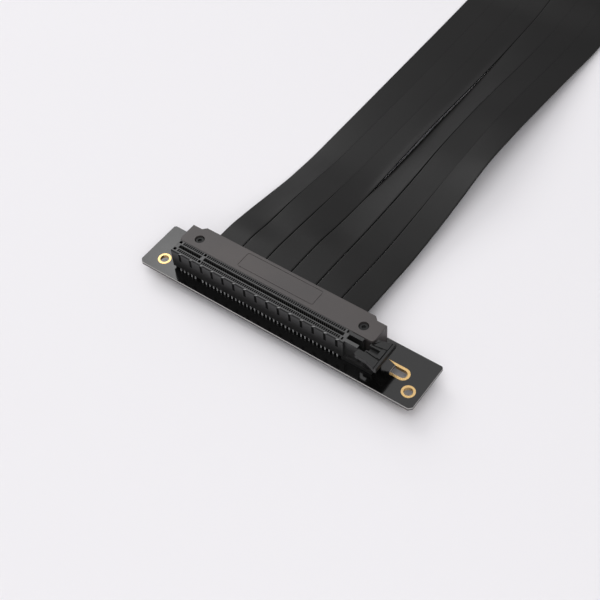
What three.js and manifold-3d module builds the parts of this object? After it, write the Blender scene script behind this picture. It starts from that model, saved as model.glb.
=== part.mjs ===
// Flexible riser cable for a graphics card: card slot, six-strip flat cable and edge-card plug.
// Millimetres, +Z up, +X along the slot, +Y from the slot towards the plug.
// While it is built, X = 0 is the slot's first contact, Y = 0 the slot's centre line
// and Z = 0 the top face of the slot board. The last lines move the origin.
import * as THREE from 'three';
import { mergeVertices } from 'three/addons/utils/BufferGeometryUtils.js';
import Module from 'manifold-3d';

const wasm = await Module();
wasm.setup();

// Fits
const clearance = 0.3;
const overcut = 1;
const arcSteps = 6;
const roundSides = 24;

// Boards
const boardThickness = 1.6;
const platingThickness = 0.08;

// Slot board
const slotBoardWidth = 24.4;
const slotBoardFront = -9.1;
const boardPastHousing = 15.3;
const boardPastLongHole = 9.8;
const frontCornerCut = 1.4;
const backCornerCut = 0.7;

// Mounting holes of the slot board
const mountHoleRadius = 1.95;
const mountPadRadius = 3;
const mountHoleY = -2.4;
const mountHoleInsetLeft = 8.7;
const mountHoleInsetRight = 5.4;
const platingWall = 0.15;

// Long hole of the slot board, straight at its left end and round at its right end
const longHolePastTab = 1.1;
const longHoleLength = 6.5;
const longHoleWidth = 3.8;
const longHoleY = 3.45;
const longPadBand = 1.2;
const longPadTail = 4;

// Slot housing
const contactPitch = 1;
const keyX = 11.5;
const contactsBeforeKey = 11;
const contactsAfterKey = 71;
const firstContactAfterKey = 13;
const housingEndWall = 3;
const housingHalfWidth = 3.75;
const housingHeight = 11.25;
const housingFootHalfWidth = 2.6;
const housingOverhang = 1.4;
const housingEdgeChamfer = 0.45;
const shoulderDrop = 1.55;
const shoulderY = 2.95;
const lipGap = 0.15;
const cardSlotWidth = 1.75;
const cardSlotDepth = 8.2;
const cardSlotEndGap = 1.1;
const keyThickness = 1.7;
const chamberDepth = 5;
const chamberLength = 0.56;
const chamberWidth = 1.35;
const chamberY = 2.05;
const endChamberLength = 1.3;
const endChamberGap = 1.9;
const groovePitch = 5.8;
const grooveFirstX = 1.7;
const grooveWidth = 0.9;
const grooveDepth = 0.7;
const grooveTopZ = 10.4;
const grooveHeight = 2.4;
const grooveRunOut = 1.3;
const rampLength = 1.3;
const rampOffset = 0.3;
const rampDrop = 0.4;
const rampRise = 0.3;
const tailSize = 0.42;
const tailPitch = 2;
const tailProud = 0.05;
const firstTailX = 1;

// Latch cage at the slot's right end
const railLength = 6.2;
const railInnerY = 1.15;
const railOuterY = 2.7;
const cageBaseHeight = 2.5;
const cageBaseLength = 13.6;
const cheekLength = 4.6;
const cheekHeight = 5.2;
const cheekThickness = 1.35;

// Latch
const pivotFromRails = 5.1;
const pivotZ = 3.4;
const trunnionRadius = 1;
const stemHalfWidth = 1.65;
const stemRadius = 1.3;
const stemPocketDrop = 0.9;
const tabUnderside = 8.9;
const tabThickness = 2;
const tabPastCover = 8;
const tabInnerHalfWidth = 5.6;
const tabWaistHalfWidth = 5.9;
const tabWaistLength = 6;
const tabOuterHalfWidth = 7.4;
const tabCorner = 0.5;
const tabNotchLength = 3;
const tabNotchHalfWidth = 2.5;
const tabSlitLength = 5;
const tabSlitHalfWidth = 1.2;
const ridgeLength = 1;
const ridgeHeight = 0.5;
const ridgeGroove = 0.45;
const ridgeGrooveDepth = 0.5;
const thumbStepLength = 1.6;
const thumbStepHalfWidth = 2.4;
const thumbStepHeight = 0.4;
const flankGrooveWidth = 0.5;
const flankGrooveInnerY = 1.8;
const flankGrooveSpread = 0.9;
const flankGrooveDepth = 0.5;
const hookHalfWidth = 0.85;
const hookReach = 2.6;
const hookThroat = 1;
const hookNose = 0.6;
const hookLowZ = 5;
const hookTopZ = 7.8;

// Slot covers
const coverPastHousingLeft = 1;
const coverPastHousingRight = 10;
const coverBackY = 14.8;
const earBackY = 13.1;
const earLength = 4.7;
const earSlope = 1.7;
const coverFrontCornerX = 1.7;
const coverFrontCornerY = 2.1;
const coverLipThickness = 1.25;
const coverWall = 1.5;
const coverEdgeBevel = 0.35;
const coverBottomDepth = 6.6;
const coverBottomFrontY = -5;
const panelInset = 30;
const panelLength = 39;
const panelFrontY = 5;
const panelWidth = 8.3;
const panelCorner = 1;
const panelGroove = 0.3;
const panelGrooveDepth = 0.2;

// Cover screws
const screwInset = 7.7;
const slotScrewY = 7.8;
const screwShaftRadius = 1;
const screwHeadRadius = 1.9;
const screwHeadHeight = 1.5;
const screwHeadDrop = 0.6;
const socketRadius = 0.85;
const socketDepth = 0.8;
const bossWall = 1.4;
const screwTipFloor = 1.1;

// Flat cable
const stripCount = 6;
const stripPitch = 13;
const stripGap = 0.3;
const stripThickness = 0.9;
const stripEdgeCut = 0.2;
const stripSteps = 13;
const windowTopZ = 2.2;
const stripStartY = 11.6;

// Plug
const plugFrontY = 281;
const plugCoverDepth = 18;
const plugPastCable = 8.5;
const plugLowerThickness = 3;
const plugUpperThickness = 4.8;
const plugWall = 1.4;
const plugWindowHeight = 2.2;
const plugWindowInset = 0.3;
const tonguePastContacts = 1;
const tongueReach = 9;
const tongueShoulder = 1.5;
const keyNotchWidth = 1.9;
const keyNotchDepth = 8;
const tongueBevelLength = 1.2;
const tongueBevelDepth = 0.45;
const plugScrewInset = 3.4;
const plugScrewY = 290;
const stripEndY = 288;

// Heights of the strips' middle above the slot board, at stations along Y. The cable leaves the
// cover just above the board, its left side lies on the surface and its right side bows up.
const stripStations = [stripStartY, 26, 40, 56, 75, 96, 122, 145, 170, 200, 235, 262, stripEndY];
const stripHeights = [
  [1.2, 1.35, -0.35, -2.2, -4.75, -6.45, -6.8, -7.2, -7.5, -7.6, -7.3, -4.0, -2.3],
  [1.2, 1.5, 0.35, -0.9, -2.55, -4.35, -5.25, -6.05, -6.95, -7.35, -7.2, -4.0, -2.3],
  [1.2, 1.35, 0.8, -1.15, -2.55, -3.65, -4.2, -5.0, -6.55, -7.35, -7.2, -4.0, -2.3],
  [1.2, 1.15, 0.55, -0.85, -2.0, -2.4, -2.2, -2.65, -4.2, -5.85, -6.6, -4.0, -2.3],
  [1.2, 0.8, 0.05, -0.7, -0.65, 0.2, 1.4, 1.6, -0.2, -3.6, -6.2, -4.0, -2.3],
  [1.2, 0.3, -0.5, -1.15, -0.45, 1.4, 3.6, 2.95, 0.9, -2.4, -5.8, -4.0, -2.3],
];

// Worked out from the sizes above
const slotBoardBack = slotBoardFront + slotBoardWidth;
const lastContactX = firstContactAfterKey + (contactsAfterKey - 1) * contactPitch;
const housingLeft = -housingEndWall;
const housingRight = lastContactX + housingEndWall;
const railEndX = housingRight + railLength;
const tabInnerX = railEndX + clearance;
const pivotX = railEndX + pivotFromRails;
const shoulderZ = housingHeight - shoulderDrop;
const coverLeft = housingLeft - coverPastHousingLeft;
const coverRight = housingRight + coverPastHousingRight;
const tabOuterX = coverRight + tabPastCover;
const longHoleLeft = tabOuterX + longHolePastTab;
const slotBoardLeft = housingLeft - boardPastHousing;
const slotBoardRight = longHoleLeft + longHoleLength + boardPastLongHole;
const mountHoleLeftX = slotBoardLeft + mountHoleInsetLeft;
const mountHoleRightX = slotBoardRight - mountHoleInsetRight;
const coverLipY = shoulderY + lipGap;
const coverFrontY = housingHalfWidth + clearance;
const coverLipZ = shoulderZ + clearance;
const coverTopZ = coverLipZ + coverLipThickness;
const screwHoleRadius = screwShaftRadius + clearance;
const counterboreRadius = screwHeadRadius + clearance;
const bossRadius = counterboreRadius + bossWall;
const slotScrewLeftX = coverLeft + screwInset;
const slotScrewRightX = coverRight - screwInset;
const coverBottomZ = -boardThickness - coverBottomDepth;
const cableWidth = stripCount * stripPitch;
const cableLeft = (lastContactX + contactPitch - cableWidth) / 2;
const plugBackY = plugFrontY + plugCoverDepth;
const plugLeft = cableLeft - plugPastCable;
const plugLength = cableWidth + 2 * plugPastCable;
const plugRight = plugLeft + plugLength;
const tongueLeft = -tonguePastContacts;
const tongueRight = lastContactX + tonguePastContacts;
const plugBoardBottom = coverBottomZ + plugLowerThickness;
const plugBoardTop = plugBoardBottom + boardThickness;
const plugTopZ = plugBoardTop + plugUpperThickness;
const tongueTipY = plugBackY + tongueShoulder + tongueReach;

// Materials
function finish(color, roughness, metalness) {
  return new THREE.MeshStandardMaterial({ color, roughness, metalness });
}
const boardMask = finish(0x18191b, 0.25, 0);
const slotPlastic = finish(0x242526, 0.55, 0);
const coverPlastic = finish(0x5c5856, 0.6, 0);
const cableJacket = finish(0x333233, 0.5, 0);
const goldPlating = finish(0xd9b878, 0.3, 1);
const blackSteel = finish(0x1c1c1d, 0.4, 0.8);

// Turning three.js geometry into solids for cutting and joining, and back
function toSolid(geometry) {
  const bare = geometry.index ? geometry.clone() : geometry;
  bare.deleteAttribute('normal');
  bare.deleteAttribute('uv');
  const merged = mergeVertices(bare, 1e-4);
  return new wasm.Manifold(new wasm.Mesh({
    numProp: 3,
    vertProperties: Float32Array.from(merged.attributes.position.array),
    triVerts: Uint32Array.from(merged.index.array),
  }));
}

function toGeometry(solid) {
  const mesh = solid.getMesh();
  const geometry = new THREE.BufferGeometry();
  geometry.setAttribute('position', new THREE.BufferAttribute(Float32Array.from(mesh.vertProperties), 3));
  geometry.setIndex(Array.from(mesh.triVerts));
  geometry.computeVertexNormals();
  return geometry;
}

// Basic solids
function box(x0, x1, y0, y1, z0, z1) {
  const geometry = new THREE.BoxGeometry(x1 - x0, y1 - y0, z1 - z0);
  geometry.translate((x0 + x1) / 2, (y0 + y1) / 2, (z0 + z1) / 2);
  return toSolid(geometry);
}

function post(radius, x, y, z0, z1, sides = roundSides) {
  const geometry = new THREE.CylinderGeometry(radius, radius, z1 - z0, sides);
  geometry.rotateX(Math.PI / 2);
  geometry.translate(x, y, (z0 + z1) / 2);
  return toSolid(geometry);
}

function crossPin(radius, x, z, y0, y1) {
  const geometry = new THREE.CylinderGeometry(radius, radius, y1 - y0, roundSides);
  geometry.translate(x, (y0 + y1) / 2, z);
  return toSolid(geometry);
}

// A plan outline in X and Y, raised from z0 to z1
function slab(shape, z0, z1) {
  const geometry = new THREE.ExtrudeGeometry(shape, {
    depth: z1 - z0, bevelEnabled: false, curveSegments: arcSteps,
  });
  geometry.translate(0, 0, z0);
  return toSolid(geometry);
}

// A profile in Y and Z, drawn out along X
function bar(shape, x0, x1) {
  const geometry = new THREE.ExtrudeGeometry(shape, {
    depth: x1 - x0, bevelEnabled: false, curveSegments: arcSteps,
  });
  const axes = new THREE.Matrix4().makeBasis(
    new THREE.Vector3(0, 1, 0), new THREE.Vector3(0, 0, 1), new THREE.Vector3(1, 0, 0));
  geometry.applyMatrix4(axes);
  geometry.translate(x0, 0, 0);
  return toSolid(geometry);
}

// A profile in X and Z, drawn out to both sides of Y = 0
function plate(shape, halfWidth) {
  const geometry = new THREE.ExtrudeGeometry(shape, {
    depth: 2 * halfWidth, bevelEnabled: false, curveSegments: arcSteps,
  });
  const axes = new THREE.Matrix4().makeBasis(
    new THREE.Vector3(1, 0, 0), new THREE.Vector3(0, 0, 1), new THREE.Vector3(0, -1, 0));
  geometry.applyMatrix4(axes);
  geometry.translate(0, halfWidth, 0);
  return toSolid(geometry);
}

function polygon(points) {
  return new THREE.Shape(points.map(([x, y]) => new THREE.Vector2(x, y)));
}

function roundedRectangle(x0, y0, width, depth, radius) {
  const shape = new THREE.Shape();
  shape.moveTo(x0 + radius, y0);
  shape.lineTo(x0 + width - radius, y0);
  shape.absarc(x0 + width - radius, y0 + radius, radius, -Math.PI / 2, 0);
  shape.absarc(x0 + width - radius, y0 + depth - radius, radius, 0, Math.PI / 2);
  shape.absarc(x0 + radius, y0 + depth - radius, radius, Math.PI / 2, Math.PI);
  shape.absarc(x0 + radius, y0 + radius, radius, Math.PI, 1.5 * Math.PI);
  return shape;
}

// The finished object, one named mesh for each piece
const riser = new THREE.Group();

function addPiece(name, geometry, material) {
  const mesh = new THREE.Mesh(geometry, material);
  mesh.name = name;
  riser.add(mesh);
}

// Slot board
function slotBoard() {
  const outline = polygon([
    [slotBoardLeft + frontCornerCut, slotBoardFront],
    [slotBoardRight - frontCornerCut, slotBoardFront],
    [slotBoardRight, slotBoardFront + frontCornerCut],
    [slotBoardRight, slotBoardBack - backCornerCut],
    [slotBoardRight - backCornerCut, slotBoardBack],
    [slotBoardLeft + backCornerCut, slotBoardBack],
    [slotBoardLeft, slotBoardBack - backCornerCut],
    [slotBoardLeft, slotBoardFront + frontCornerCut],
  ]);
  let board = slab(outline, -boardThickness, 0);
  const low = -boardThickness - overcut;
  const barrelSeat = mountHoleRadius + platingWall + clearance;
  for (const x of [mountHoleLeftX, mountHoleRightX]) {
    board = board.subtract(post(barrelSeat, x, mountHoleY, low, overcut));
  }
  for (const x of [slotScrewLeftX, slotScrewRightX]) {
    board = board.subtract(post(screwHoleRadius, x, slotScrewY, low, overcut));
  }
  return board.subtract(slab(longHoleOutline(platingWall + clearance), low, overcut));
}

// The long hole's outline, grown by a margin on every side
function longHoleOutline(margin) {
  const radius = longHoleWidth / 2 + margin;
  const left = longHoleLeft - margin;
  const centre = longHoleLeft + longHoleLength - longHoleWidth / 2;
  const shape = new THREE.Shape();
  shape.moveTo(left, longHoleY - radius);
  shape.lineTo(centre, longHoleY - radius);
  shape.absarc(centre, longHoleY, radius, -Math.PI / 2, Math.PI / 2);
  shape.lineTo(left, longHoleY + radius);
  shape.closePath();
  return shape;
}

// Plated eyelet of a mounting hole: a barrel with a flat pad on each face of the board
function eyelet(x) {
  const top = platingThickness;
  const bottom = -boardThickness - platingThickness;
  const barrel = mountHoleRadius + platingWall;
  const profile = [
    [mountHoleRadius, bottom], [mountPadRadius, bottom], [mountPadRadius, -boardThickness],
    [barrel, -boardThickness], [barrel, 0], [mountPadRadius, 0],
    [mountPadRadius, top], [mountHoleRadius, top], [mountHoleRadius, bottom],
  ].map(([r, z]) => new THREE.Vector2(r, z));
  const geometry = new THREE.LatheGeometry(profile, roundSides);
  geometry.rotateX(Math.PI / 2);
  geometry.translate(x, mountHoleY, 0);
  return toSolid(geometry);
}

// Plated rim of the long hole, with a narrow tail running left from its back band
function longPlating() {
  const top = platingThickness;
  const bottom = -boardThickness - platingThickness;
  const bandCentre = longHoleY + (longHoleWidth + longPadBand) / 2;
  const tail = polygon([
    [longHoleLeft - longPadTail, bandCentre + longPadBand / 2],
    [longHoleLeft, bandCentre - longPadBand / 2],
    [longHoleLeft + overcut, bandCentre - longPadBand / 2],
    [longHoleLeft + overcut, bandCentre + longPadBand / 2],
  ]);
  const openEnd = box(
    longHoleLeft - longPadBand - overcut, longHoleLeft, longHoleY - longHoleWidth, longHoleY + longHoleWidth,
    bottom - overcut, top + overcut);
  const band = longHoleOutline(longPadBand);
  const pad = slab(band, 0, top).add(slab(band, bottom, -boardThickness));
  const barrel = slab(longHoleOutline(platingWall), bottom, top);
  const bore = slab(longHoleOutline(0), bottom - overcut, top + overcut);
  const openBore = box(longHoleLeft - overcut, longHoleLeft + overcut,
    longHoleY - longHoleWidth / 2, longHoleY + longHoleWidth / 2, bottom - overcut, top + overcut);
  return pad.add(barrel).subtract(openEnd).add(slab(tail, 0, top)).subtract(bore).subtract(openBore);
}

// Positions of the contacts along the slot
function contactPositions() {
  const positions = [];
  for (let i = 0; i < contactsBeforeKey; i += 1) {
    positions.push(i * contactPitch);
  }
  for (let i = 0; i < contactsAfterKey; i += 1) {
    positions.push(firstContactAfterKey + i * contactPitch);
  }
  return positions;
}

// Slot housing with its latch cage
function slotHousing() {
  const profile = polygon([
    [-housingFootHalfWidth, 0], [housingFootHalfWidth, 0],
    [housingFootHalfWidth, housingOverhang], [housingHalfWidth, housingOverhang],
    [housingHalfWidth, shoulderZ], [shoulderY, shoulderZ], [shoulderY, housingHeight],
    [-housingHalfWidth + housingEdgeChamfer, housingHeight],
    [-housingHalfWidth, housingHeight - housingEdgeChamfer],
    [-housingHalfWidth, housingOverhang], [-housingFootHalfWidth, housingOverhang],
  ]);
  const above = housingHeight + overcut;
  const slotFloor = housingHeight - cardSlotDepth;
  const chamberFloor = housingHeight - chamberDepth;
  const halfSlot = cardSlotWidth / 2;
  const cuts = [
    box(-cardSlotEndGap, keyX - keyThickness / 2, -halfSlot, halfSlot, slotFloor, above),
    box(keyX + keyThickness / 2, lastContactX + cardSlotEndGap, -halfSlot, halfSlot, slotFloor, above),
  ];
  const chamber = (x, y, length) => box(
    x - length / 2, x + length / 2, y - chamberWidth / 2, y + chamberWidth / 2, chamberFloor, above);
  for (const y of [-chamberY, chamberY]) {
    for (const x of contactPositions()) {
      cuts.push(chamber(x, y, chamberLength));
    }
    for (const x of [-endChamberGap, keyX, lastContactX + endChamberGap]) {
      cuts.push(chamber(x, y, endChamberLength));
    }
  }
  for (let x = grooveFirstX; x < housingRight - groovePitch / 2; x += groovePitch) {
    cuts.push(sideGroove(x), topRamp(x));
  }
  const tails = [];
  const tailY = -housingHalfWidth - tailProud;
  for (let x = firstTailX; x <= lastContactX; x += tailPitch) {
    const missing = x > (contactsBeforeKey - 1) * contactPitch && x < firstContactAfterKey;
    if (!missing) {
      tails.push(box(x - tailSize / 2, x + tailSize / 2, tailY, tailY + tailSize,
        0, housingOverhang + clearance));
    }
  }
  return bar(profile, housingLeft, housingRight)
    .subtract(wasm.Manifold.union(cuts))
    .add(wasm.Manifold.union(tails))
    .add(latchCage());
}

// Groove in the housing's front face, running out at its lower end
function sideGroove(x) {
  const front = -housingHalfWidth - overcut;
  const floor = -housingHalfWidth + grooveDepth;
  const low = grooveTopZ - grooveHeight;
  const profile = polygon([
    [front, grooveTopZ], [front, low - grooveRunOut], [-housingHalfWidth, low - grooveRunOut],
    [floor, low], [floor, grooveTopZ],
  ]);
  return bar(profile, x - grooveWidth / 2, x + grooveWidth / 2);
}

// Sloped nick in the top edge above a groove
function topRamp(x) {
  const left = x + rampOffset - rampLength / 2;
  const right = left + rampLength;
  const low = housingHeight - rampDrop;
  const wedge = polygon([
    [left, housingHeight + overcut], [left, low], [right, low + rampRise], [right, housingHeight + overcut],
  ]);
  const edge = box(left - overcut, right + overcut, -housingHalfWidth - overcut,
    -housingHalfWidth + grooveDepth, low - overcut, housingHeight + 2 * overcut);
  return plate(wedge, housingHalfWidth + overcut).intersect(edge);
}

// Two rails that take the card's hook, a base, and two cheeks that carry the latch's trunnions
function latchCage() {
  const cheekInner = stemHalfWidth + clearance;
  const cheekOuter = cheekInner + cheekThickness;
  const cheekEnd = housingRight + cageBaseLength;
  const cheekStart = cheekEnd - cheekLength;
  let cage = box(housingRight - overcut, cheekEnd, -housingHalfWidth, housingHalfWidth, 0, cageBaseHeight);
  for (const side of [-1, 1]) {
    const rail = [side * railInnerY, side * railOuterY].sort((a, b) => a - b);
    cage = cage.add(box(housingRight - overcut, railEndX, rail[0], rail[1], 0, housingHeight));
    const cheek = [side * cheekInner, side * cheekOuter].sort((a, b) => a - b);
    cage = cage.add(box(cheekStart, cheekEnd, cheek[0], cheek[1], 0, cheekHeight));
  }
  const pocket = box(cheekStart, cheekEnd + overcut, -cheekInner, cheekInner,
    cageBaseHeight - stemPocketDrop, cheekHeight + overcut);
  const bearing = crossPin(trunnionRadius + clearance, pivotX, pivotZ,
    -housingHalfWidth - overcut, housingHalfWidth + overcut);
  return cage.subtract(pocket).subtract(bearing);
}

// Retention lever: trunnions, stem, hook and wide thumb tab
function latchLever() {
  const cheekOuter = stemHalfWidth + clearance + cheekThickness;
  const stem = new THREE.Shape();
  stem.moveTo(pivotX - stemRadius, tabUnderside + clearance);
  stem.lineTo(pivotX - stemRadius, pivotZ);
  stem.absarc(pivotX, pivotZ, stemRadius, Math.PI, 2 * Math.PI);
  stem.lineTo(tabOuterX - ridgeLength, tabUnderside);
  stem.lineTo(tabOuterX - ridgeLength, tabUnderside + clearance);
  stem.closePath();
  const stemBack = pivotX - stemRadius;
  const hook = polygon([
    [pivotX, hookLowZ], [pivotX, hookTopZ], [stemBack - hookThroat, hookTopZ],
    [stemBack - hookReach, hookLowZ + hookThroat + hookNose],
    [stemBack - hookReach, hookLowZ + hookThroat],
    [stemBack - hookThroat, hookLowZ],
  ]);
  return thumbTab()
    .add(plate(stem, stemHalfWidth))
    .add(plate(hook, hookHalfWidth))
    .add(crossPin(trunnionRadius, pivotX, pivotZ, -cheekOuter, cheekOuter));
}

// Thumb tab: notched plate with a slit, an end ridge, a middle step and grooves beside them
function thumbTab() {
  const top = tabUnderside + tabThickness;
  const backArmX = coverRight + 2 * clearance;
  const waistX = tabInnerX + tabWaistLength;
  const notchEnd = tabInnerX + tabNotchLength;
  const slitEnd = notchEnd + tabSlitLength;
  const ridgeX = tabOuterX - ridgeLength;
  const grooveX = ridgeX - ridgeGroove;
  const plan = polygon([
    [tabInnerX, -tabInnerHalfWidth + tabCorner], [tabInnerX + tabCorner, -tabInnerHalfWidth],
    [waistX, -tabWaistHalfWidth], [ridgeX, -tabOuterHalfWidth], [tabOuterX, -tabOuterHalfWidth],
    [tabOuterX, tabOuterHalfWidth], [ridgeX, tabOuterHalfWidth],
    [waistX, tabWaistHalfWidth], [backArmX, tabWaistHalfWidth - tabCorner], [backArmX, tabNotchHalfWidth],
    [notchEnd, tabNotchHalfWidth], [notchEnd, tabSlitHalfWidth], [slitEnd, tabSlitHalfWidth],
    [slitEnd, -tabSlitHalfWidth], [notchEnd, -tabSlitHalfWidth],
    [notchEnd, -tabNotchHalfWidth], [tabInnerX, -tabNotchHalfWidth],
  ]);
  const across = box(grooveX, ridgeX, -tabOuterHalfWidth - overcut, tabOuterHalfWidth + overcut,
    top - ridgeGrooveDepth, top + overcut);
  const flanks = [-1, 1].map((side) => slab(polygon([
    [notchEnd + ridgeGroove, side * flankGrooveInnerY],
    [notchEnd + ridgeGroove, side * (flankGrooveInnerY + flankGrooveWidth)],
    [grooveX + clearance, side * (flankGrooveInnerY + flankGrooveWidth + flankGrooveSpread)],
    [grooveX + clearance, side * (flankGrooveInnerY + flankGrooveSpread)],
  ]), top - flankGrooveDepth, top + overcut));
  const ridge = box(ridgeX, tabOuterX, -tabOuterHalfWidth, tabOuterHalfWidth,
    tabUnderside, top + ridgeHeight);
  const step = box(grooveX - thumbStepLength, grooveX, -thumbStepHalfWidth, thumbStepHalfWidth,
    tabUnderside, top + thumbStepHeight);
  return slab(plan, tabUnderside, top)
    .subtract(across)
    .subtract(wasm.Manifold.union(flanks))
    .add(step)
    .add(ridge);
}

// Plan outline of the upper slot cover, ears set back at both ends
function coverOutline() {
  const mainLeft = coverLeft + earLength;
  const mainRight = coverRight - earLength;
  const cornerY = coverLipY + coverFrontCornerY;
  const shape = new THREE.Shape();
  shape.moveTo(coverLeft + coverFrontCornerX, coverLipY);
  shape.lineTo(coverRight - coverFrontCornerX, coverLipY);
  shape.quadraticCurveTo(coverRight, coverLipY, coverRight, cornerY);
  shape.lineTo(coverRight, earBackY);
  shape.lineTo(mainRight, earBackY);
  shape.lineTo(mainRight - earSlope, coverBackY);
  shape.lineTo(mainLeft + earSlope, coverBackY);
  shape.lineTo(mainLeft, earBackY);
  shape.lineTo(coverLeft, earBackY);
  shape.lineTo(coverLeft, cornerY);
  shape.quadraticCurveTo(coverLeft, coverLipY, coverLeft + coverFrontCornerX, coverLipY);
  return shape;
}

// Upper slot cover: bevelled shell with a lip over the housing's shoulder, bosses and cable window
function slotCoverTop() {
  const shell = new THREE.ExtrudeGeometry(coverOutline(), {
    depth: coverTopZ - coverEdgeBevel + overcut, curveSegments: arcSteps,
    bevelSegments: 2, bevelSize: coverEdgeBevel, bevelThickness: coverEdgeBevel, bevelOffset: -coverEdgeBevel,
  });
  shell.translate(0, 0, -overcut);
  const below = -2 * overcut;
  const far = coverBackY + overcut;
  const cavityTop = coverTopZ - coverWall;
  const cavity = box(coverLeft + coverWall, coverRight - coverWall, coverFrontY + coverWall,
    earBackY - coverWall, below, cavityTop);
  const window = box(cableLeft - stripGap / 2, cableLeft + cableWidth + stripGap / 2,
    slotScrewY, far, below, windowTopZ);
  const frontCut = box(coverLeft - overcut, coverRight + overcut, 0, coverFrontY, below, coverLipZ);
  const panelLeft = coverLeft + panelInset;
  const groove = slab(roundedRectangle(panelLeft, panelFrontY, panelLength, panelWidth, panelCorner),
    coverTopZ - panelGrooveDepth, coverTopZ + overcut);
  const island = slab(roundedRectangle(panelLeft + panelGroove, panelFrontY + panelGroove,
    panelLength - 2 * panelGroove, panelWidth - 2 * panelGroove, panelCorner - panelGroove),
    coverTopZ - 2 * panelGrooveDepth, coverTopZ + 2 * overcut);
  const seat = coverTopZ - screwHeadDrop - screwHeadHeight;
  const screws = [slotScrewLeftX, slotScrewRightX];
  const bosses = screws.map((x) => post(bossRadius, x, slotScrewY, 0, coverTopZ - coverWall / 2));
  const holes = screws.flatMap((x) => [
    post(screwHoleRadius, x, slotScrewY, below, coverTopZ),
    post(counterboreRadius, x, slotScrewY, seat, coverTopZ + overcut),
  ]);
  return toSolid(shell)
    .subtract(cavity)
    .add(wasm.Manifold.union(bosses))
    .subtract(wasm.Manifold.union([window, frontCut, ...holes]))
    .subtract(groove.subtract(island))
    .subtract(box(coverLeft - overcut, coverRight + overcut, 0, far, 2 * below, 0));
}

// Lower slot cover: open tray under the board with two pilot bosses
function slotCoverBottom() {
  const top = -boardThickness;
  const length = coverRight - coverLeft;
  const width = coverBackY - coverBottomFrontY;
  const outer = slab(roundedRectangle(coverLeft, coverBottomFrontY, length, width, coverFrontCornerX),
    coverBottomZ, top);
  const hollow = slab(roundedRectangle(coverLeft + coverWall, coverBottomFrontY + coverWall,
    length - 2 * coverWall, width - 2 * coverWall, coverFrontCornerX - coverWall / 2),
    coverBottomZ + coverWall, top + overcut);
  const floorZ = coverBottomZ + coverWall;
  const screws = [slotScrewLeftX, slotScrewRightX];
  const bosses = screws.map((x) => post(screwHoleRadius + bossWall, x, slotScrewY, floorZ - overcut / 2, top));
  const pilots = screws.map((x) => post(screwHoleRadius, x, slotScrewY, floorZ, top + overcut));
  return outer
    .subtract(hollow)
    .add(wasm.Manifold.union(bosses))
    .subtract(wasm.Manifold.union(pilots));
}

// Socket-head screw standing upright, its head's top at topZ and its tip at tipZ
function screw(x, y, topZ, tipZ) {
  const headBottom = topZ - screwHeadHeight;
  return post(screwHeadRadius, x, y, headBottom, topZ)
    .add(post(screwShaftRadius, x, y, tipZ, headBottom + clearance))
    .subtract(post(socketRadius, x, y, topZ - socketDepth, topZ + overcut, 6));
}

// One flat cable strip: an eight-sided flat section drawn along its route
function strip(index) {
  const x = cableLeft + (index + 0.5) * stripPitch;
  const halfWidth = (stripPitch - stripGap) / 2;
  const halfThickness = stripThickness / 2;
  const section = polygon([
    [-halfWidth + stripEdgeCut, -halfThickness], [halfWidth - stripEdgeCut, -halfThickness],
    [halfWidth, -halfThickness + stripEdgeCut], [halfWidth, halfThickness - stripEdgeCut],
    [halfWidth - stripEdgeCut, halfThickness], [-halfWidth + stripEdgeCut, halfThickness],
    [-halfWidth, halfThickness - stripEdgeCut], [-halfWidth, -halfThickness + stripEdgeCut],
  ]);
  const route = stripStations.map((y, i) => new THREE.Vector3(x, y, stripHeights[index][i]));
  return new THREE.ExtrudeGeometry(section, {
    steps: stripSteps, bevelEnabled: false, extrudePath: new THREE.CatmullRomCurve3(route),
  });
}

// Plug board: body, bevelled tongue and key notch
function plugBoard() {
  const bodyEndY = plugBackY + tongueShoulder;
  const notchLeft = keyX - keyNotchWidth / 2;
  const notchRight = keyX + keyNotchWidth / 2;
  const notchEndY = tongueTipY - keyNotchDepth;
  const outline = polygon([
    [plugLeft, plugFrontY], [plugRight, plugFrontY], [plugRight, bodyEndY], [tongueRight, bodyEndY],
    [tongueRight, tongueTipY], [notchRight, tongueTipY], [notchRight, notchEndY],
    [notchLeft, notchEndY], [notchLeft, tongueTipY], [tongueLeft, tongueTipY], [tongueLeft, bodyEndY],
    [plugLeft, bodyEndY],
  ]);
  const bevelled = polygon([
    [plugFrontY - overcut, plugBoardBottom], [tongueTipY - tongueBevelLength, plugBoardBottom],
    [tongueTipY, plugBoardBottom + tongueBevelDepth], [tongueTipY, plugBoardTop - tongueBevelDepth],
    [tongueTipY - tongueBevelLength, plugBoardTop], [plugFrontY - overcut, plugBoardTop],
  ]);
  const holes = plugScrewXs().map((x) => post(screwHoleRadius, x, plugScrewY, plugBoardBottom - overcut,
    plugBoardTop + overcut));
  return slab(outline, plugBoardBottom, plugBoardTop)
    .intersect(bar(bevelled, plugLeft - overcut, plugRight + overcut))
    .subtract(wasm.Manifold.union(holes));
}

function plugScrewXs() {
  return [plugLeft + plugScrewInset, plugRight - plugScrewInset];
}

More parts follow.
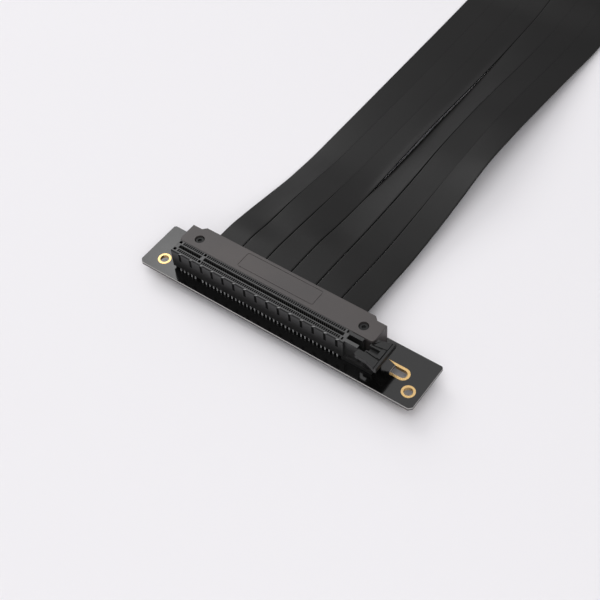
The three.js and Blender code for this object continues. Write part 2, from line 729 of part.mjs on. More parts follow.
// Upper plug cover with the window that the strips enter by
function plugCoverTop() {
  const outer = slab(roundedRectangle(plugLeft, plugFrontY, plugLength, plugCoverDepth, coverFrontCornerX),
    plugBoardTop, plugTopZ);
  const inner = cableLeft - plugWindowInset;
  const cavity = box(inner, cableLeft + cableWidth + plugWindowInset, plugFrontY + plugWall,
    plugBackY - plugWall, plugBoardTop - overcut, plugTopZ - plugWall);
  const window = box(inner, cableLeft + cableWidth + plugWindowInset, plugFrontY - overcut,
    plugFrontY + 2 * plugWall, plugBoardTop - overcut, plugBoardTop + plugWindowHeight);
  const seat = plugTopZ - screwHeadDrop - screwHeadHeight;
  const holes = plugScrewXs().flatMap((x) => [
    post(screwHoleRadius, x, plugScrewY, plugBoardTop - overcut, plugTopZ),
    post(counterboreRadius, x, plugScrewY, seat, plugTopZ + overcut),
  ]);
  return outer.subtract(wasm.Manifold.union([cavity, window, ...holes]));
}

// Lower plug cover with pilot holes
function plugCoverBottom() {
  const outer = slab(roundedRectangle(plugLeft, plugFrontY, plugLength, plugCoverDepth, coverFrontCornerX),
    coverBottomZ, plugBoardBottom);
  const cavity = box(cableLeft, cableLeft + cableWidth, plugFrontY + plugWall, plugBackY - plugWall,
    coverBottomZ + plugWall, plugBoardBottom + overcut);
  const pilots = plugScrewXs().map((x) => post(screwHoleRadius, x, plugScrewY,
    coverBottomZ + screwTipFloor - clearance, plugBoardBottom + overcut));
  return outer.subtract(wasm.Manifold.union([cavity, ...pilots]));
}

// Slot end
addPiece('slot_board', toGeometry(slotBoard()), boardMask);
addPiece('hole_plating_left', toGeometry(eyelet(mountHoleLeftX)), goldPlating);
addPiece('hole_plating_right', toGeometry(eyelet(mountHoleRightX)), goldPlating);
addPiece('slot_plating', toGeometry(longPlating()), goldPlating);
addPiece('slot_housing', toGeometry(slotHousing()), slotPlastic);
addPiece('latch', toGeometry(latchLever()), slotPlastic);
addPiece('slot_cover_top', toGeometry(slotCoverTop()), coverPlastic);
addPiece('slot_cover_bottom', toGeometry(slotCoverBottom()), coverPlastic);
const slotScrewTop = coverTopZ - screwHeadDrop;
const slotScrewTip = coverBottomZ + coverWall + clearance;
const slotScrew = (x) => toGeometry(screw(x, slotScrewY, slotScrewTop, slotScrewTip));
addPiece('slot_screw_left', slotScrew(slotScrewLeftX), blackSteel);
addPiece('slot_screw_right', slotScrew(slotScrewRightX), blackSteel);

// Flat cable
for (let i = 0; i < stripCount; i += 1) {
  addPiece(`ribbon_strip_${i + 1}`, strip(i), cableJacket);
}

// Plug end
addPiece('plug_board', toGeometry(plugBoard()), boardMask);
addPiece('plug_cover_top', toGeometry(plugCoverTop()), coverPlastic);
addPiece('plug_cover_bottom', toGeometry(plugCoverBottom()), coverPlastic);
const plugScrewTop = plugTopZ - screwHeadDrop;
const plugScrewTip = coverBottomZ + screwTipFloor;
const [plugScrewLeftX, plugScrewRightX] = plugScrewXs();
const plugScrew = (x) => toGeometry(screw(x, plugScrewY, plugScrewTop, plugScrewTip));
addPiece('plug_screw_left', plugScrew(plugScrewLeftX), blackSteel);
addPiece('plug_screw_right', plugScrew(plugScrewRightX), blackSteel);

// The origin: on the surface the object stands on, below the middle of its plan
riser.position.set(
  -(slotBoardLeft + slotBoardRight) / 2,
  -(slotBoardFront + tongueTipY) / 2,
  -coverBottomZ,
);

const group = new THREE.Group();
group.add(riser);
export default group;
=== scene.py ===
"""Riser cable of a graphics card: the card slot, its flat cable of six strips, and the plug."""
import math

import bmesh
import bpy
from mathutils import Matrix, Vector


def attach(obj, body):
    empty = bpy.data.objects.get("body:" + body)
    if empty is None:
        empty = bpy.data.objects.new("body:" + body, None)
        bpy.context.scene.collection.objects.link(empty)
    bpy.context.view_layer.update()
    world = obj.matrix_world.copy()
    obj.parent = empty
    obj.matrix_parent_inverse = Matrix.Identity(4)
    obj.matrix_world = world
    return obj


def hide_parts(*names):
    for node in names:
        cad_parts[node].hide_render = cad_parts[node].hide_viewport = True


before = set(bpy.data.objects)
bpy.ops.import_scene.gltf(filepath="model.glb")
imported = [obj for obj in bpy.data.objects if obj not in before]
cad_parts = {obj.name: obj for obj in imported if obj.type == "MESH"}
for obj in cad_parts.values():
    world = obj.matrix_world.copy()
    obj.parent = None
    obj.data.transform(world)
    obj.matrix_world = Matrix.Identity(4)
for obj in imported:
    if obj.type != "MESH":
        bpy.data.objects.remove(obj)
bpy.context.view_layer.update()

MM = 0.001

# The slot's own millimetres: X = 0 at its first contact, Y = 0 on its centre line and
# Z = 0 on the board's top face. This is where that point lies in the frame.
SLOT_ORIGIN = Vector((-51.55, -150.2, 8.2))

# Boards: their thickness, and the height in metres where the slot board's edge turns from its
# lower half, painted dark as painted shade, to its paler upper half with a painted glint
BOARD_THICKNESS = 1.6
EDGE_SHADE_LINE = 0.0075
EDGE_SHADE_BLEND = 0.0002

# Slot: its contacts are 1 mm apart, with the key after the eleventh
CONTACTS = list(range(0, 11)) + list(range(13, 84))
CONTACTS_END = CONTACTS[-1] + 2.6
CARD_SLOT_HALF = 0.875
CARD_SLOT_FLOOR = 3.2
HOUSING_TOP = 11.25

# The chambers: how far from the slot's middle line they begin and end, and their lowest place
CHAMBER_INNER = 1.2
CHAMBER_OUTER = 2.85
CHAMBER_FLOOR = 6.2

# Painted shade: near-black sheets at the chambers' mouths, in the card slot's walls and housing's
# top
SHADE_SHEET_DEPTH = 0.02
WALL_SHADE_HALF = 0.3
WALL_SHADE_FOOT = 4.0
WALL_SHADE_TOP = 10.5
TOP_SHADE_HALF = 0.38
TOP_SHADE_INNER = 1.3
TOP_SHADE_OUTER = 2.75

# The solder tails along the front
FRONT_TAILS = [x for x in range(1, 84, 2) if x != 11]
TAIL_Y = -3.8
TAIL_SIZE = 0.42
TAIL_TOP = 1.45
FILLET_FOOT = 0.24
FILLET_TIP = 0.12
FILLET_HEIGHT = 0.3

# The grooves, their painted-shade sheets and their lead-in ramps in the housing's front
FRONT_Y = -3.75
FRONT_INNER_Y = -2.9
GROOVE_FIRST = 1.7
GROOVE_PITCH = 5.8
GROOVE_SHADE_HALF = 0.62
GROOVE_FOOT = 6.4
GROOVE_TOP = 10.6
RAMP_FOOT = 10.75

# The contact springs: their strip, and the bend of each as distance from the middle and height
SPRING_THICKNESS = 0.16
SPRING_WIDTH = 0.4
SPRING_BEND = [(0.95, 3.6), (0.86, 5.2), (0.5, 6.7), (0.45, 7.2), (0.6, 7.7), (0.86, 8.2)]

# Cable
STRIP_PITCH = 13.0
STRIP_WIDTH = 12.7
STRIP_THICKNESS = 0.9
CABLE_LEFT = 3.0
STRIP_STEPS = 150
STRIP_CORNER = 0.32
STRIP_CORNER_SHUT = 0.04
SEAM_SHUT = 0.14
CROWN_SHARES = (0.44, 0.38, 0.3, 0.2, 0.0, -0.2, -0.3, -0.38, -0.44)
# Where each seam begins and ends closing up, from the cable's left edge to its right edge
NEVER = (400, 500)
SEAM_CLOSES = [NEVER, (40, 75), (45, 85), (55, 80), (90, 150), (50, 110), NEVER]
# The seam where the left strip stands above the right one, so that its corners stay round
STEPPED_SEAM = 3
# How far the right edge of a strip curls up, over what width, and where the curl grows and fades
CURLS = {2: 0.75}
CURL_REACH = 3.6
CURL_GROWS = (72, 105)
CURL_FADES = (175, 230)
STATIONS = [11.6, 26, 40, 56, 75, 96, 122, 145, 170, 200, 235, 262, 288]

# Plug
PLUG_BOARD_TOP = -3.6
FINGER_WIDTH = 0.7
FINGER_THICKNESS = 0.04
FINGER_START_Y = 303.0
FINGER_END_Y = 308.6
SHORT_FINGER_LACKS = 1.2

# Studio: the floor, the sky that lights the object, and the paler sky that the camera sees
FLOOR_HALF = 3.0
FLOOR_DROP = 0.0001
FLOOR_COLOUR = (0.865, 0.85, 0.87, 1)
SKY_COLOUR = (0.97, 0.96, 1.0, 1)
SKY_STRENGTH = 0.28
SEEN_SKY_STRENGTH = 0.88
LAMP_AIM = (0.0, -0.05, 0.0)

# Camera, measured from the photograph: where it stands, how it is turned and its focal length
CAMERA_AT = (0.191657, -0.366428, 0.374549)
CAMERA_RIGHT = (0.80815, 0.586487, -0.054093)
CAMERA_UP = (-0.429803, 0.650046, 0.626665)
CAMERA_BACK = (0.402694, -0.48319, 0.777409)
CAMERA_LENS = 67.31


def at(x, y, z):
    """A point of the slot's own millimetres, in the frame's metres."""
    return (Vector((x, y, z)) + SLOT_ORIGIN) * MM


# Shader maths


class Value:
    """A socket that arithmetic can be written on."""

    def __init__(self, finish, socket):
        self.finish = finish
        self.socket = socket

    def maths(self, operation, other):
        return self.finish.node("ShaderNodeMath", {"operation": operation}, self, other)

    def __add__(self, other):
        return self.maths("ADD", other)

    def __mul__(self, other):
        return self.maths("MULTIPLY", other)

    __radd__ = __add__
    __rmul__ = __mul__


class Finish:
    """A material on one Principled shader."""

    def __init__(self, name, **constants):
        self.material = bpy.data.materials.new(name)
        self.material.use_nodes = True
        self.tree = self.material.node_tree
        self.shader = self.tree.nodes["Principled BSDF"]
        for socket, value in constants.items():
            self.shader.inputs[socket.replace("_", " ")].default_value = value
        self.place = self.node("ShaderNodeTexCoord", {}, output="Object")

    def node(self, kind, settings, *values, output=0, **sockets):
        """A new node: its settings, then what goes into its sockets, by place or by name."""
        made = self.tree.nodes.new(kind)
        for name, setting in settings.items():
            setattr(made, name, setting)
        for key, value in list(enumerate(values)) + list(sockets.items()):
            self.connect(made.inputs[key], value)
        return Value(self, made.outputs[output])

    def connect(self, target, value):
        if isinstance(value, Value):
            self.tree.links.new(value.socket, target)
        else:
            target.default_value = value

    def feed(self, socket, value):
        self.connect(self.shader.inputs[socket], value)

    def noise(self, scale, detail=3.0, roughness=0.5, place=None):
        return self.node("ShaderNodeTexNoise", {}, Vector=place or self.place, Scale=scale,
                         Detail=detail, Roughness=roughness, output="Fac")

    def stretched(self, x, y, z):
        return self.node("ShaderNodeMapping", {}, Vector=self.place, Scale=(x, y, z))

    def mix_colours(self, factor, low, high):
        """A mix of two colours. The mix node's colour sockets are inputs 6 and 7 and output 2."""
        made = self.tree.nodes.new("ShaderNodeMix")
        made.data_type = "RGBA"
        for place, value in ((0, factor), (6, low), (7, high)):
            self.connect(made.inputs[place], value)
        return Value(self, made.outputs[2])

    def bump(self, height, strength, distance, normal=None):
        sockets = {"Height": height, "Strength": strength, "Distance": distance}
        if normal is not None:
            sockets["Normal"] = normal
        return self.node("ShaderNodeBump", {}, **sockets)


def grey(value, warmth=0.0):
    return (value * (1 + warmth), value, value * (1 - warmth), 1)


# Finishes


def board_mask_finish():
    """Glossy black solder mask with a faint ripple."""
    finish = Finish("board_mask", IOR=1.5)
    mottle = finish.noise(900.0, 2.0)
    finish.feed("Base Color", finish.mix_colours(mottle, grey(0.002), grey(0.005)))
    wave = finish.noise(160.0, 2.0)
    finish.feed("Roughness", 0.07 + finish.noise(1400.0, 2.0) * 0.07)
    finish.feed("Normal", finish.bump(wave, 0.04, 0.0004))
    return finish.material


def board_edge_finish():
    """Cut glass-fibre laminate with fine layer lines: dark below as painted shade, pale above as a
    painted glint.
    """
    finish = Finish("board_edge", Roughness=0.6)
    layers = finish.noise(1.0, 2.0, 0.6, finish.stretched(600.0, 600.0, 9000.0))
    # The edge's lower half is painted dark as painted shade and its upper half pale as a painted
    # glint
    height = finish.node("ShaderNodeSeparateXYZ", {}, finish.place, output=2)
    upper = finish.node("ShaderNodeMapRange", {}, height, EDGE_SHADE_LINE - EDGE_SHADE_BLEND,
                        EDGE_SHADE_LINE + EDGE_SHADE_BLEND)
    dark = finish.mix_colours(layers, grey(0.05, 0.03), grey(0.09, 0.03))
    pale = finish.mix_colours(layers, grey(0.36, 0.03), grey(0.52, 0.03))
    finish.feed("Base Color", finish.mix_colours(upper, dark, pale))
    finish.feed("Normal", finish.bump(layers, 0.3, 0.00005))
    return finish.material


def gold_finish():
    """Gold plating, a little patchy."""
    finish = Finish("gold_plating", Metallic=1.0)
    patches = finish.noise(1500.0, 3.0)
    finish.feed("Base Color", finish.mix_colours(patches, (0.62, 0.40, 0.16, 1),
                                                 (0.74, 0.52, 0.25, 1)))
    finish.feed("Roughness", 0.2 + patches * 0.16)
    finish.feed("Normal", finish.bump(patches, 0.15, 0.00003))
    return finish.material


def tin_finish():
    """Solder on the tails, painted brighter on some than on others as painted glints."""
    finish = Finish("solder_tin", Metallic=0.35)
    grain = finish.noise(2500.0, 3.0)
    glint_spots = finish.noise(700.0, 0.0)
    # Painted glints: some tails are painted near white, others dark grey
    finish.feed("Base Color", finish.mix_colours(glint_spots, grey(0.1), grey(1.0)))
    finish.feed("Roughness", 0.28 + grain * 0.16)
    finish.feed("Normal", finish.bump(grain, 0.2, 0.00004))
    return finish.material


def slot_plastic_finish():
    """Black glass-filled nylon with a faint moulded grain."""
    finish = Finish("slot_plastic", IOR=1.5)
    grain = finish.noise(5200.0, 3.0, 0.6)
    flow = finish.noise(1.0, 3.0, 0.5, finish.stretched(90.0, 500.0, 500.0))
    finish.feed("Base Color", finish.mix_colours(flow, grey(0.012, 0.01), grey(0.02, 0.01)))
    finish.feed("Roughness", 0.24 + grain * 0.16)
    finish.feed("Normal", finish.bump(grain, 0.28, 0.00003))
    return finish.material


def slot_top_lit_finish():
    """The housing's top lands, painted paler than its sides as painted light from above, mottled.
    """
    finish = Finish("slot_top_lit", IOR=1.5)
    grain = finish.noise(5200.0, 3.0, 0.6)
    lit_mottle = finish.noise(300.0, 3.0)
    # Painted light: the lands are painted paler than the nylon of the sides
    finish.feed("Base Color", finish.mix_colours(lit_mottle, grey(0.045), grey(0.075)))
    finish.feed("Roughness", 0.3 + grain * 0.16)
    finish.feed("Normal", finish.bump(grain, 0.28, 0.00003))
    return finish.material


def slot_wall_lit_finish():
    """The card slot's walls, painted paler as painted light, streaked along their height."""
    finish = Finish("slot_wall_lit")
    wall_streaks = finish.noise(1.0, 3.0, 0.6, finish.stretched(1500.0, 1500.0, 200.0))
    # Painted light: the walls are painted paler than the housing's outer sides
    finish.feed("Base Color", finish.mix_colours(wall_streaks, grey(0.05), grey(0.1)))
    finish.feed("Roughness", 0.4 + wall_streaks * 0.2)
    finish.feed("Normal", finish.bump(wall_streaks, 0.2, 0.00002))
    return finish.material


def slot_facet_glint_finish():
    """Small polished lead-in facets over the grooves, painted pale grey as a painted glint."""
    finish = Finish("slot_facet_glint", Specular_IOR_Level=1.0)
    grain = finish.noise(5200.0, 2.0)
    # Painted glint: pale grey on the black nylon
    finish.feed("Base Color", finish.mix_colours(grain, grey(0.24), grey(0.34)))
    finish.feed("Roughness", 0.16 + grain * 0.1)
    finish.feed("Normal", finish.bump(grain, 0.1, 0.00002))
    return finish.material


def latch_plastic_finish():
    """Dull black nylon of the latch."""
    finish = Finish("latch_plastic", Specular_IOR_Level=0.38)
    grain = finish.noise(5200.0, 3.0, 0.6)
    flow = finish.noise(400.0, 3.0)
    finish.feed("Base Color", finish.mix_colours(flow, grey(0.008), grey(0.014)))
    finish.feed("Roughness", 0.3 + grain * 0.18)
    finish.feed("Normal", finish.bump(grain, 0.3, 0.00003))
    return finish.material


def slot_cavity_shade_finish():
    """The same nylon deep inside the chambers and grooves, painted near black as painted shade,
    rough and dull.
    """
    finish = Finish("slot_cavity_shade", Specular_IOR_Level=0.1)
    grain = finish.noise(5200.0, 3.0, 0.6)
    # Painted shade: near black, darker than the nylon outside the hollows
    finish.feed("Base Color", finish.mix_colours(grain, grey(0.001), grey(0.003)))
    finish.feed("Roughness", 0.7 + grain * 0.2)
    finish.feed("Normal", finish.bump(grain, 0.3, 0.00004))
    return finish.material


def cover_plastic_finish():
    """Dark moulded cover with a fine spark-eroded texture."""
    finish = Finish("cover_plastic", IOR=1.5)
    grain = finish.noise(7000.0, 2.0, 0.7)
    cloud = finish.noise(60.0, 3.0)
    finish.feed("Base Color", finish.mix_colours(cloud, (0.052, 0.047, 0.047, 1),
                                                 (0.074, 0.064, 0.061, 1)))
    finish.feed("Roughness", 0.42 + grain * 0.16)
    finish.feed("Normal", finish.bump(grain, 0.35, 0.00004))
    return finish.material


def cable_jacket_finish():
    """Satin black jacket, faintly drawn out along its length."""
    finish = Finish("cable_jacket", Specular_IOR_Level=0.22)
    drawn = finish.noise(1.0, 4.0, 0.6, finish.stretched(900.0, 40.0, 900.0))
    grain = finish.noise(4200.0, 2.0, 0.6)
    cloud = finish.noise(35.0, 3.0)
    finish.feed("Base Color", finish.mix_colours(cloud, grey(0.008, 0.03), grey(0.012, 0.03)))
    finish.feed("Roughness", 0.34 + drawn * 0.1 + grain * 0.06)
    relief = finish.bump(drawn, 0.1, 0.00006)
    finish.feed("Normal", finish.bump(grain, 0.18, 0.00003, relief))
    return finish.material


def black_steel_finish():
    """Blackened steel of the screws."""
    finish = Finish("black_steel", Metallic=0.4, Specular_IOR_Level=0.4)
    grain = finish.noise(3000.0, 3.0)
    finish.feed("Base Color", finish.mix_colours(grain, grey(0.006), grey(0.014)))
    finish.feed("Roughness", 0.36 + grain * 0.18)
    finish.feed("Normal", finish.bump(grain, 0.1, 0.00003))
    return finish.material


board_mask = board_mask_finish()
board_edge = board_edge_finish()
gold = gold_finish()
tin = tin_finish()
slot_plastic = slot_plastic_finish()
slot_cavity_shade = slot_cavity_shade_finish()
slot_top_lit = slot_top_lit_finish()
slot_wall_lit = slot_wall_lit_finish()
slot_facet_glint = slot_facet_glint_finish()
latch_plastic = latch_plastic_finish()
cover_plastic = cover_plastic_finish()
cable_jacket = cable_jacket_finish()
black_steel = black_steel_finish()


# Making pieces

# The angles above which an edge stays sharp: on mouldings, on small turned pieces, on the strips
SHARP_ANGLE = 35.0
SMOOTH_ANGLE = 50
STRIP_ANGLE = 80


def new_piece(name, mesh_work, body, slot_name, *materials):
    """Turns finished mesh work into a piece that rides on a body."""
    mesh = bpy.data.meshes.new(name)
    mesh_work.to_mesh(mesh)
    mesh_work.free()
    for material in materials:
        mesh.materials.append(material)
    piece = bpy.data.objects.new(name, mesh)
    bpy.context.scene.collection.objects.link(piece)
    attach(piece, body)
    return piece


def shade(piece, angle=SHARP_ANGLE):
    """Smooth shading that keeps the edges sharper than the angle."""
    mesh = piece.data
    mesh.polygons.foreach_set("use_smooth", [True] * len(mesh.polygons))
    mesh.set_sharp_from_angle(angle=math.radians(angle))
    weighted = piece.modifiers.new("weighted_normals", "WEIGHTED_NORMAL")
    weighted.keep_sharp = True
    weighted.weight = 95
    return piece


def refined(node, width, body, slot_name, *materials, segments=2, ending="moulding"):
    """A CAD node's solid with its sharp edges rounded, in the node's place."""
    work = bmesh.new()
    work.from_mesh(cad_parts[node].data)
    bmesh.ops.remove_doubles(work, verts=work.verts, dist=1e-6)
    bmesh.ops.dissolve_limit(work, angle_limit=math.radians(1.0), verts=work.verts,
                             edges=work.edges)
    sharp = [edge for edge in work.edges
             if edge.is_manifold and edge.calc_face_angle(0) > math.radians(SHARP_ANGLE)]
    bmesh.ops.bevel(work, geom=sharp, offset=width * MM, segments=segments, profile=0.5,
                    affect="EDGES", material=-1, clamp_overlap=True)
    piece = new_piece(f"{node}_{ending}", work, body, slot_name, *materials)
    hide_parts(node)
    return shade(piece)


# The slot end

# A face wider than this, in square millimetres, belongs to the housing's walls
WIDEST_SMALL_FACE = 12


def cut_board(node):
    """A board with black mask on its faces and bare laminate on its cut edges."""
    piece = refined(node, 0.06, "riser", "board_mask", board_mask, board_edge, segments=1,
                    ending="laminate")
    for face in piece.data.polygons:
        if abs(face.normal.z) < 0.6:
            face.material_index = 1


cut_board("slot_board")
for plated in ("hole_plating_left", "hole_plating_right", "slot_plating"):
    refined(plated, 0.03, "riser", "gold_plating", gold)


def housing_material(face):
    """Which of the housing's materials a face has, going by where it lies and how it is turned."""
    moulded, tinned, cavity, wall, facet, top = range(6)
    spot = face.center / MM - SLOT_ORIGIN
    # Top lands and card slot walls get painted light, chambers and grooves painted shade, ramp
    # facets a painted glint
    chosen = moulded
    in_wall = CARD_SLOT_HALF - 0.075 < abs(spot.y) < CARD_SLOT_HALF + 0.075
    if in_wall and CARD_SLOT_FLOOR < spot.z < HOUSING_TOP - 0.1 and abs(face.normal.y) > 0.9:
        chosen = wall
    if spot.z > HOUSING_TOP - 0.01 and spot.x < CONTACTS_END:
        chosen = top
    if spot.x > CONTACTS_END or face.area > WIDEST_SMALL_FACE * MM * MM:
        return chosen
    from_groove = abs((spot.x - GROOVE_FIRST + GROOVE_PITCH / 2) % GROOVE_PITCH - GROOVE_PITCH / 2)
    if spot.z < TAIL_TOP and TAIL_Y - 0.1 < spot.y < TAIL_Y + TAIL_SIZE + 0.1:
        chosen = tinned
    in_chamber = (CHAMBER_INNER < abs(spot.y) < CHAMBER_OUTER
                  and CHAMBER_FLOOR < spot.z < HOUSING_TOP - 0.02)
    in_groove = (FRONT_Y + 0.01 < spot.y < FRONT_INNER_Y and from_groove < 0.6
                 and GROOVE_FOOT - 0.4 < spot.z < GROOVE_TOP)
    if in_chamber or in_groove:
        chosen = cavity
    elif (spot.y < FRONT_INNER_Y and RAMP_FOOT < spot.z < HOUSING_TOP - 0.06
          and face.normal.z > 0.85):
        chosen = facet
    return chosen


housing = refined("slot_housing", 0.07, "riser", "slot_plastic", slot_plastic, tin, slot_cavity_shade,
                  slot_wall_lit, slot_facet_glint, slot_top_lit, segments=1)
for housing_face in housing.data.polygons:
    housing_face.material_index = housing_material(housing_face)

refined("latch", 0.15, "latch", "slot_plastic", latch_plastic, segments=3)
refined("slot_cover_top", 0.12, "riser", "cover_plastic", cover_plastic)
refined("slot_cover_bottom", 0.3, "riser", "cover_plastic", cover_plastic, segments=3)
for screw_node in ("slot_screw_left", "slot_screw_right", "plug_screw_left", "plug_screw_right"):
    refined(screw_node, 0.12, "riser", "black_steel", black_steel)


def contact_springs():
    """Bent contact springs facing each other across the card slot."""
    work = bmesh.new()
    for x in CONTACTS:
        for side in (-1, 1):
            first = [work.verts.new(at(x - SPRING_WIDTH / 2, side * y, z)) for y, z in SPRING_BEND]
            edges = [work.edges.new(pair) for pair in zip(first, first[1:])]
            sheet = bmesh.ops.extrude_edge_only(work, edges=edges)
            moved = [v for v in sheet["geom"] if isinstance(v, bmesh.types.BMVert)]
            bmesh.ops.translate(work, verts=moved, vec=Vector((SPRING_WIDTH * MM, 0, 0)))
    bmesh.ops.recalc_face_normals(work, faces=work.faces)
    bmesh.ops.solidify(work, geom=work.faces, thickness=SPRING_THICKNESS * MM)
    bmesh.ops.recalc_face_normals(work, faces=work.faces)
    shade(new_piece("contact_springs", work, "riser", "gold_plating", gold), SMOOTH_ANGLE)


def block(work, *spans):
    """A box that spans two places along x, y and z, in the slot's own millimetres."""
    made = bmesh.ops.create_cube(work, size=1.0)
    low, high = (Vector([end(span) for span in spans]) for end in (min, max))
    bmesh.ops.scale(work, verts=made["verts"], vec=(high - low) * MM)
    bmesh.ops.translate(work, verts=made["verts"], vec=at(*((low + high) / 2)))


def contact_opening_shades():
    """Painted shade: near-black sheets at the chambers' mouths, in both card slot walls and the
    top.
    """
    work = bmesh.new()
    for x in CONTACTS:
        for side in (-1, 1):
            block(work, (x - WALL_SHADE_HALF, x + WALL_SHADE_HALF),
                  (side * (CARD_SLOT_HALF - SHADE_SHEET_DEPTH), side * (CARD_SLOT_HALF + SHADE_SHEET_DEPTH)),
                  (WALL_SHADE_FOOT, WALL_SHADE_TOP))
            block(work, (x - TOP_SHADE_HALF, x + TOP_SHADE_HALF),
                  (side * TOP_SHADE_INNER, side * TOP_SHADE_OUTER),
                  (HOUSING_TOP - SHADE_SHEET_DEPTH, HOUSING_TOP + SHADE_SHEET_DEPTH / 2))
    new_piece("contact_opening_shades", work, "riser", "slot_plastic", slot_cavity_shade)


def groove_shade_sheets():
    """Painted shade: near-black sheets over the grooves' mouths in the housing's front face."""
    work = bmesh.new()
    x = GROOVE_FIRST
    while x < CONTACTS[-1]:
        block(work, (x - GROOVE_SHADE_HALF, x + GROOVE_SHADE_HALF),
              (FRONT_Y - SHADE_SHEET_DEPTH, FRONT_Y + SHADE_SHEET_DEPTH), (GROOVE_FOOT, GROOVE_TOP))
        x += GROOVE_PITCH
    new_piece("groove_shade_sheets", work, "riser", "slot_plastic", slot_cavity_shade)


def solder_fillets():
    """Solder drawn up around the foot of each front tail."""
    work = bmesh.new()
    for x in FRONT_TAILS:
        made = bmesh.ops.create_cone(work, cap_ends=True, segments=10, radius1=FILLET_FOOT * MM,
                                     radius2=FILLET_TIP * MM, depth=FILLET_HEIGHT * MM)
        bmesh.ops.translate(work, verts=made["verts"], vec=at(x, TAIL_Y + 0.15, FILLET_HEIGHT / 2))
    shade(new_piece("solder_fillets", work, "riser", "gold_plating", tin), SMOOTH_ANGLE)


contact_springs()
contact_opening_shades()
groove_shade_sheets()
solder_fillets()


# The cable

# Heights of the cable's top surface above the slot board, at the stations along it:
# for each strip its left edge, then its right edge.
EDGE_HEIGHTS = [
    ([1.65, 1.5, -0.2, -3.0, -6.0, -7.2, -7.25, -7.3, -7.3, -7.3, -7.0, -3.6, -1.85],
     [1.65, 2.1, 0.4, -0.6, -2.8, -5.2, -6.2, -6.8, -7.2, -7.3, -6.9, -3.6, -1.85]),
    ([1.65, 2.1, 0.4, -0.6, -2.8, -5.2, -6.2, -6.8, -7.2, -7.3, -6.9, -3.6, -1.85],
     [1.65, 2.1, 1.2, -0.4, -2.2, -4.0, -4.9, -5.6, -6.6, -7.0, -6.8, -3.6, -1.85]),
    ([1.65, 2.1, 1.2, -0.4, -2.2, -4.0, -4.9, -5.6, -6.6, -7.0, -6.8, -3.6, -1.85],
     [1.65, 1.7, 1.3, -0.9, -2.6, -3.1, -3.2, -4.1, -5.8, -6.8, -6.6, -3.6, -1.85]),
    ([1.65, 1.7, 1.3, -0.9, -2.7, -3.9, -4.6, -5.2, -6.4, -6.9, -6.6, -3.6, -1.85],
     [1.65, 1.4, 0.9, 0.0, -0.3, 0.1, 1.3, 0.9, -1.0, -4.2, -6.2, -3.6, -1.85]),
    ([1.65, 1.4, 0.9, 0.0, -0.4, -0.1, 1.1, 0.7, -1.1, -4.3, -6.2, -3.6, -1.85],
     [1.65, 1.0, 0.0, -0.6, -0.1, 1.1, 2.4, 2.5, 0.8, -2.8, -5.9, -3.6, -1.85]),
    ([1.65, 1.0, 0.0, -0.6, -0.1, 1.1, 2.4, 2.5, 0.8, -2.8, -5.9, -3.6, -1.85],
     [1.65, 0.3, -0.3, -0.8, 0.1, 2.5, 5.6, 4.3, 1.7, -1.8, -5.6, -3.6, -1.85]),
]


def height_between(heights, y):
    """A smooth curve through the heights at the stations, flat enough not to overshoot."""
    last = len(STATIONS) - 1
    i = max(0, min(last - 1, sum(1 for s in STATIONS if s <= y) - 1))

    def rise(k):
        return (heights[k + 1] - heights[k]) / (STATIONS[k + 1] - STATIONS[k])

    def slope(k):
        if k in (0, last):
            return rise(max(0, k - 1))
        before, after = rise(k - 1), rise(k)
        if before * after < 0 or not before + after:
            return 0.0
        return 2 * before * after / (before + after)

    gap = STATIONS[i + 1] - STATIONS[i]
    t = (y - STATIONS[i]) / gap
    return (heights[i] * (2 * t**3 - 3 * t**2 + 1) + heights[i + 1] * (3 * t**2 - 2 * t**3)
            + slope(i) * gap * (t**3 - 2 * t**2 + t) + slope(i + 1) * gap * (t**3 - t**2))


def ease(value, start, end):
    """0 before the start, 1 after the end, smooth between."""
    t = min(1.0, max(0.0, (value - start) / (end - start)))
    return t * t * (3 - 2 * t)


def strip_section(index, y):
    """The outline of a strip's flat section at one place: its right side and top, then the rest."""
    points = []
    for side, start, seam in ((1, -90, index + 1), (-1, 90, index)):
        shut = ease(y, *SEAM_CLOSES[seam])
        reach = STRIP_WIDTH / 2 + shut * SEAM_SHUT
        radius = STRIP_CORNER
        if seam != STEPPED_SEAM:
            radius += (STRIP_CORNER_SHUT - STRIP_CORNER) * shut
        for corner, first in ((-side, start), (side, start + 90)):
            for turn in (first, first + 45, first + 90):
                angle = math.radians(turn)
                points.append((side * (reach - radius) + radius * math.cos(angle),
                               corner * (STRIP_THICKNESS / 2 - radius) + radius * math.sin(angle)))
        points += [(side * STRIP_WIDTH * share, side * STRIP_THICKNESS / 2)
                   for share in CROWN_SHARES]
    return points


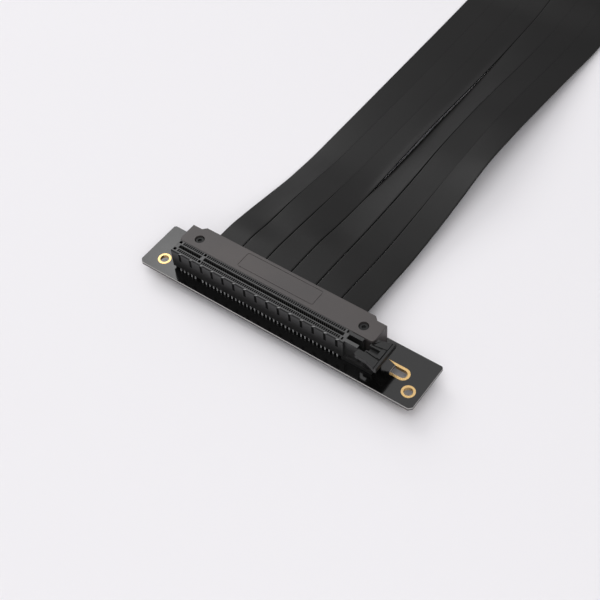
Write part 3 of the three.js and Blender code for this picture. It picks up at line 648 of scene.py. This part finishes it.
def strip(index):
    """One flat strip: a flat section swept along, each edge at its own height."""
    left_heights, right_heights = EDGE_HEIGHTS[index]
    centre = CABLE_LEFT + (index + 0.5) * STRIP_PITCH
    work = bmesh.new()
    rings = []
    for step in range(STRIP_STEPS + 1):
        y = STATIONS[0] + (STATIONS[-1] - STATIONS[0]) * step / STRIP_STEPS
        left = height_between(left_heights, y) - STRIP_THICKNESS / 2
        right = height_between(right_heights, y) - STRIP_THICKNESS / 2
        at(centre, y, (left + right) / 2)
        tilt = math.atan2(right - left, STRIP_WIDTH)
        curl = CURLS.get(index, 0.0) * ease(y, *CURL_GROWS) * (1 - ease(y, *CURL_FADES))
        ring = []
        for x, z in strip_section(index, y):
            lift = curl * max(0.0, (x - STRIP_WIDTH / 2 + CURL_REACH) / CURL_REACH) ** 2
            across = x - z * math.sin(tilt)
            up = x * math.tan(tilt) + z * math.cos(tilt) + lift
            ring.append(work.verts.new(at(centre + across, y, (left + right) / 2 + up)))
        if rings:
            before = rings[-1]
            for k in range(len(ring)):
                work.faces.new((before[k - 1], before[k], ring[k], ring[k - 1]))
        rings.append(ring)
    work.faces.new(rings[0])
    work.faces.new(rings[-1])
    bmesh.ops.recalc_face_normals(work, faces=work.faces)
    piece = new_piece(f"cable_strip_{index + 1}", work, "riser", "cable_jacket", cable_jacket)
    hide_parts(f"ribbon_strip_{index + 1}")
    shade(piece, STRIP_ANGLE)


for strip_index in range(len(EDGE_HEIGHTS)):
    strip(strip_index)


# The plug end

cut_board("plug_board")
refined("plug_cover_top", 0.35, "riser", "cover_plastic", cover_plastic, segments=3)
refined("plug_cover_bottom", 0.35, "riser", "cover_plastic", cover_plastic, segments=3)


def gold_fingers():
    """Gold fingers on both faces of the plug's tongue."""
    work = bmesh.new()
    for x in CONTACTS:
        for z, side in ((PLUG_BOARD_TOP, 1), (PLUG_BOARD_TOP - BOARD_THICKNESS, -1)):
            lacks = SHORT_FINGER_LACKS if x == 0 and side > 0 else 0.0
            block(work, (x - FINGER_WIDTH / 2, x + FINGER_WIDTH / 2),
                  (FINGER_START_Y, FINGER_END_Y - lacks), (z, z + side * FINGER_THICKNESS))
    new_piece("plug_fingers", work, "riser", "gold_plating", gold)


gold_fingers()


# Floor, light and camera


def paper_floor():
    """The pale paper that the object lies on."""
    work = bmesh.new()
    bmesh.ops.create_grid(work, x_segments=1, y_segments=1, size=FLOOR_HALF)
    bmesh.ops.translate(work, verts=work.verts, vec=Vector((0, 0, -FLOOR_DROP)))
    mesh = bpy.data.meshes.new("floor")
    work.to_mesh(mesh)
    work.free()
    floor = bpy.data.objects.new("floor", mesh)
    bpy.context.scene.collection.objects.link(floor)
    finish = Finish("floor_paper", Roughness=0.9)
    finish.feed("Base Color", FLOOR_COLOUR)
    mesh.materials.append(finish.material)


def soft_box(name, direction, distance, width, power):
    """A square lamp that stands off in a direction and faces the object."""
    lamp = bpy.data.lights.new(name, "AREA")
    lamp.shape = "SQUARE"
    lamp.size = width
    lamp.energy = power
    holder = bpy.data.objects.new(name, lamp)
    bpy.context.scene.collection.objects.link(holder)
    outwards = Vector(direction).normalized()
    holder.location = Vector(LAMP_AIM) + outwards * distance
    holder.rotation_euler = (-outwards).to_track_quat("-Z", "Y").to_euler()


paper_floor()
soft_box("key_light", (-0.74, 0.32, 0.62), 1.6, 0.95, 8.0)
soft_box("mirror_light", (-0.32, 0.38, 0.86), 1.7, 0.7, 1.5)
soft_box("top_light", (-0.1, -0.2, 1.0), 1.8, 1.3, 9.0)
soft_box("fill_light", (0.45, -0.45, 0.80), 1.8, 1.6, 14.5)

world = bpy.data.worlds.new("studio")
bpy.context.scene.world = world
world.use_nodes = True
sky = world.node_tree.nodes["Background"]
sky.inputs["Color"].default_value = SKY_COLOUR
light_path = world.node_tree.nodes.new("ShaderNodeLightPath")
seen_strength = world.node_tree.nodes.new("ShaderNodeMapRange")
seen_strength.inputs["To Min"].default_value = SKY_STRENGTH
seen_strength.inputs["To Max"].default_value = SEEN_SKY_STRENGTH
world.node_tree.links.new(light_path.outputs["Is Camera Ray"], seen_strength.inputs["Value"])
world.node_tree.links.new(seen_strength.outputs["Result"], sky.inputs["Strength"])

camera_data = bpy.data.cameras.new("camera")
camera_data.lens = CAMERA_LENS
camera_data.sensor_width = 36.0
camera = bpy.data.objects.new("camera", camera_data)
bpy.context.scene.collection.objects.link(camera)
camera.matrix_world = Matrix.Translation(CAMERA_AT) @ Matrix(
    (CAMERA_RIGHT, CAMERA_UP, CAMERA_BACK)).transposed().to_4x4()
bpy.context.scene.camera = camera
bpy.context.scene.view_settings.view_transform = "Standard"
